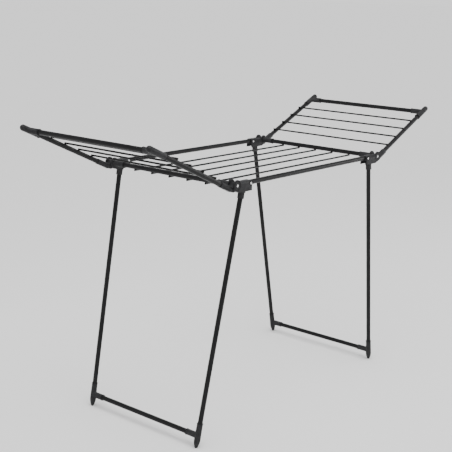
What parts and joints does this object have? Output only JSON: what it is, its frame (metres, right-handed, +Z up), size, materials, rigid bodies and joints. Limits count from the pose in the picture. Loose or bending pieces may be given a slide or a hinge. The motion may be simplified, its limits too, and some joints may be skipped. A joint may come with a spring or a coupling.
{
  "type": "folding winged clothes airer",
  "caption": "Free-standing folding clothes airer: a rod frame on two splayed leg frames, with a raised hinged wing at each end.",
  "frame": {"origin": "on the floor, at the middle of the open airer", "axes": "+X along the airer from wing to wing, -Y to its front, +Z up"},
  "size_m": [1.716, 0.5944, 1.0616],
  "materials": {
    "black_steel": "satin black powder coat",
    "black_plastic": "fine-grained black moulding",
    "rivet_steel": "bright zinc-plated steel"
  },
  "bodies": {
    "frame": {"back_side_rail": "black_steel", "drying_rod_1": "black_steel", "drying_rod_2": "black_steel", "drying_rod_3": "black_steel", "drying_rod_4": "black_steel", "drying_rod_5": "black_steel", "front_side_rail": "black_steel", "left_back_hinge_block": "black_plastic", "left_cross_tube": "black_steel", "left_front_hinge_block": "black_plastic", "left_leg_pins": "rivet_steel", "left_wing_pins": "rivet_steel", "rail_rivets": "rivet_steel", "right_back_hinge_block": "black_plastic", "right_cross_tube": "black_steel", "right_front_hinge_block": "black_plastic", "right_leg_pins": "rivet_steel", "right_wing_pins": "rivet_steel"},
    "left_legs": {"left_back_foot": "black_plastic", "left_back_leg_head": "black_plastic", "left_back_leg_tube": "black_steel", "left_foot_bar": "black_steel", "left_front_foot": "black_plastic", "left_front_leg_head": "black_plastic", "left_front_leg_tube": "black_steel"},
    "left_wing": {"left_back_wing_arm": "black_steel", "left_back_wing_corner": "black_plastic", "left_back_wing_knuckle": "black_plastic", "left_front_wing_arm": "black_steel", "left_front_wing_corner": "black_plastic", "left_front_wing_knuckle": "black_plastic", "left_wing_outer_tube": "black_steel", "left_wing_wire_1": "black_steel", "left_wing_wire_2": "black_steel", "left_wing_wire_3": "black_steel", "left_wing_wire_4": "black_steel"},
    "right_legs": {"right_back_foot": "black_plastic", "right_back_leg_head": "black_plastic", "right_back_leg_tube": "black_steel", "right_foot_bar": "black_steel", "right_front_foot": "black_plastic", "right_front_leg_head": "black_plastic", "right_front_leg_tube": "black_steel"},
    "right_wing": {"right_back_wing_arm": "black_steel", "right_back_wing_corner": "black_plastic", "right_back_wing_knuckle": "black_plastic", "right_front_wing_arm": "black_steel", "right_front_wing_corner": "black_plastic", "right_front_wing_knuckle": "black_plastic", "right_wing_outer_tube": "black_steel", "right_wing_wire_1": "black_steel", "right_wing_wire_2": "black_steel", "right_wing_wire_3": "black_steel", "right_wing_wire_4": "black_steel"}
  },
  "joints": [
    {"name": "left_wing_fold", "type": "hinge", "parent": "frame", "child": "left_wing", "pos_m": [-0.446, 0, 0.892], "axis": [0, 1, 0], "range_deg": [0, 152]},
    {"name": "right_wing_fold", "type": "hinge", "parent": "frame", "child": "right_wing", "pos_m": [0.446, 0, 0.892], "axis": [0, -1, 0], "range_deg": [0, 152]},
    {"name": "left_leg_fold", "type": "hinge", "parent": "frame", "child": "left_legs", "pos_m": [-0.40367, 0, 0.8724], "axis": [0, -1, 0], "range_deg": [0, 99.8]},
    {"name": "right_leg_fold", "type": "hinge", "parent": "frame", "child": "right_legs", "pos_m": [0.40367, 0, 0.8724], "axis": [0, 1, 0], "range_deg": [0, 93.4]}
  ]
}
